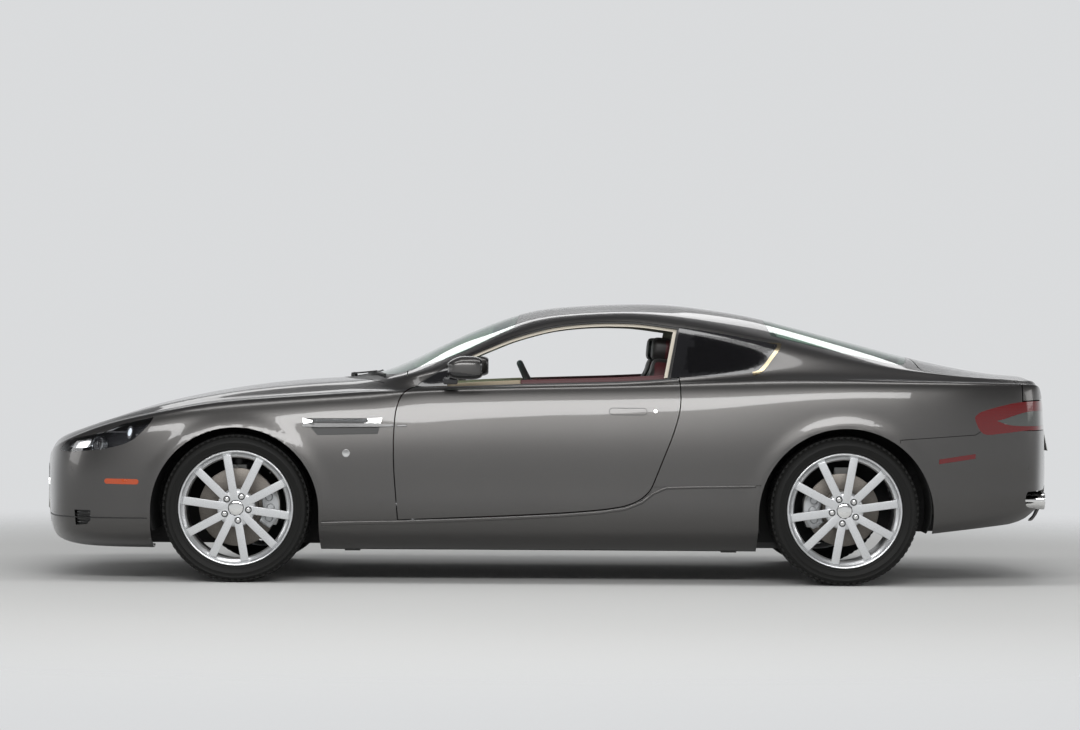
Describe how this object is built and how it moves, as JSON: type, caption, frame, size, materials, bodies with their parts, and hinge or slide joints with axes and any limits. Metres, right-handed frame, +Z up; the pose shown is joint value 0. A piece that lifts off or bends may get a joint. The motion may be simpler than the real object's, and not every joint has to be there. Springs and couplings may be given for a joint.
{
  "type": "two-door grand touring coupe",
  "caption": "Low two-door touring car with a long bonnet, sloping rear roof, turning and steered wheels, opening doors, bonnet and boot lid.",
  "frame": {"origin": "on the ground, half way along the car, on its centre plane", "axes": "+X to the tail, +Y to the car's right, +Z up"},
  "size_m": [4.694, 2.04, 1.271],
  "materials": {
    "paint": "metallic warm grey paint under clear coat",
    "glass": "green tinted safety glass",
    "tyre": "satin black rubber tread and sidewall",
    "alloy": "silver painted cast alloy",
    "disc_iron": "turned iron with a bright swept face",
    "black_plastic": "grained black moulding",
    "underbody": "satin black protective coat",
    "lamp_front": "clear lamp cover over dark housing",
    "lamp_rear": "red lamp lens",
    "chrome": "polished bright metal",
    "steel": "plain machined and cast steel",
    "trim_dark": "dark grained leather",
    "trim_light": "light grey leather"
  },
  "bodies": {
    "body": {"arch_liners_front": "black_plastic", "arch_liners_rear": "black_plastic", "body_side_left": "paint", "body_side_right": "paint", "bumper_beams": "steel", "centre_console": "trim_dark", "cowl_panel": "black_plastic", "dashboard": "trim_dark", "engine_block": "steel", "exhaust": "chrome", "firewall": "underbody", "floor_pan": "underbody", "front_bumper": "paint", "front_seats": "trim_light", "front_subframe": "steel", "front_wing_left": "paint", "front_wing_right": "paint", "grille": "black_plastic", "headlamps": "lamp_front", "jacking_pads": "black_plastic", "propshaft": "steel", "quarter_windows": "glass", "radiator": "black_plastic", "rear_bumper": "paint", "rear_knuckles": "steel", "rear_seats": "trim_light", "rear_subframe": "steel", "rear_window": "glass", "roof_panel": "paint", "side_vents": "black_plastic", "sill_left": "paint", "sill_right": "paint", "tail_lamps": "lamp_rear", "tow_sockets": "steel", "windscreen": "glass", "wipers": "black_plastic"},
    "front_left_wheel": {"tyre_front_left": "tyre", "wheel_front_left": "alloy", "disc_front_left": "disc_iron"},
    "front_right_wheel": {"tyre_front_right": "tyre", "wheel_front_right": "alloy", "disc_front_right": "disc_iron"},
    "rear_left_wheel": {"tyre_rear_left": "tyre", "wheel_rear_left": "alloy", "disc_rear_left": "disc_iron"},
    "rear_right_wheel": {"tyre_rear_right": "tyre", "wheel_rear_right": "alloy", "disc_rear_right": "disc_iron"},
    "left_knuckle": {"knuckle_left": "steel"},
    "right_knuckle": {"knuckle_right": "steel"},
    "steering": {"steering_wheel": "trim_dark"},
    "left_door": {"door_left": "paint", "mirror_left": "paint"},
    "right_door": {"door_right": "paint", "mirror_right": "paint"},
    "bonnet_lid": {"bonnet": "paint"},
    "boot": {"boot_lid": "paint"}
  },
  "joints": [
    {"name": "steer_left", "type": "hinge", "parent": "body", "child": "left_knuckle", "pos_m": [-1.398, -0.724, 0.335], "axis": [0, 0, 1], "range_deg": [-32, 32]},
    {"name": "steer_right", "type": "hinge", "parent": "body", "child": "right_knuckle", "pos_m": [-1.398, 0.724, 0.335], "axis": [0, 0, 1], "range_deg": [-32, 32]},
    {"name": "steering_turn", "type": "hinge", "parent": "body", "child": "steering", "pos_m": [-0.05, -0.35, 0.829], "axis": [0.9063, 0, 0.4226], "range_deg": [-450, 450]},
    {"name": "spin_front_left", "type": "hinge", "parent": "left_knuckle", "child": "front_left_wheel", "pos_m": [-1.398, -0.784, 0.335], "axis": [0, 1, 0], "continuous": true},
    {"name": "spin_front_right", "type": "hinge", "parent": "right_knuckle", "child": "front_right_wheel", "pos_m": [-1.398, 0.784, 0.335], "axis": [0, 1, 0], "continuous": true},
    {"name": "spin_rear_left", "type": "hinge", "parent": "body", "child": "rear_left_wheel", "pos_m": [1.342, -0.781, 0.3375], "axis": [0, 1, 0], "continuous": true},
    {"name": "spin_rear_right", "type": "hinge", "parent": "body", "child": "rear_right_wheel", "pos_m": [1.342, 0.781, 0.3375], "axis": [0, 1, 0], "continuous": true},
    {"name": "door_left_hinge", "type": "hinge", "parent": "body", "child": "left_door", "pos_m": [-0.628, -0.893, 0.33], "axis": [0, -0.0465, -0.9989], "range_deg": [0, 65]},
    {"name": "door_right_hinge", "type": "hinge", "parent": "body", "child": "right_door", "pos_m": [-0.628, 0.893, 0.33], "axis": [0, -0.0465, 0.9989], "range_deg": [0, 65]},
    {"name": "bonnet_hinge", "type": "hinge", "parent": "body", "child": "bonnet_lid", "pos_m": [-0.744, 0, 0.9], "axis": [0, 1, 0], "range_deg": [0, 55]},
    {"name": "boot_hinge", "type": "hinge", "parent": "body", "child": "boot", "pos_m": [1.706, 0, 1.0265], "axis": [0, -1, 0], "range_deg": [0, 70]}
  ],
  "couplings": [
    {"joint": "steer_right", "follows": "steer_left", "ratio": 1},
    {"joint": "steering_turn", "follows": "steer_left", "ratio": 14}
  ]
}
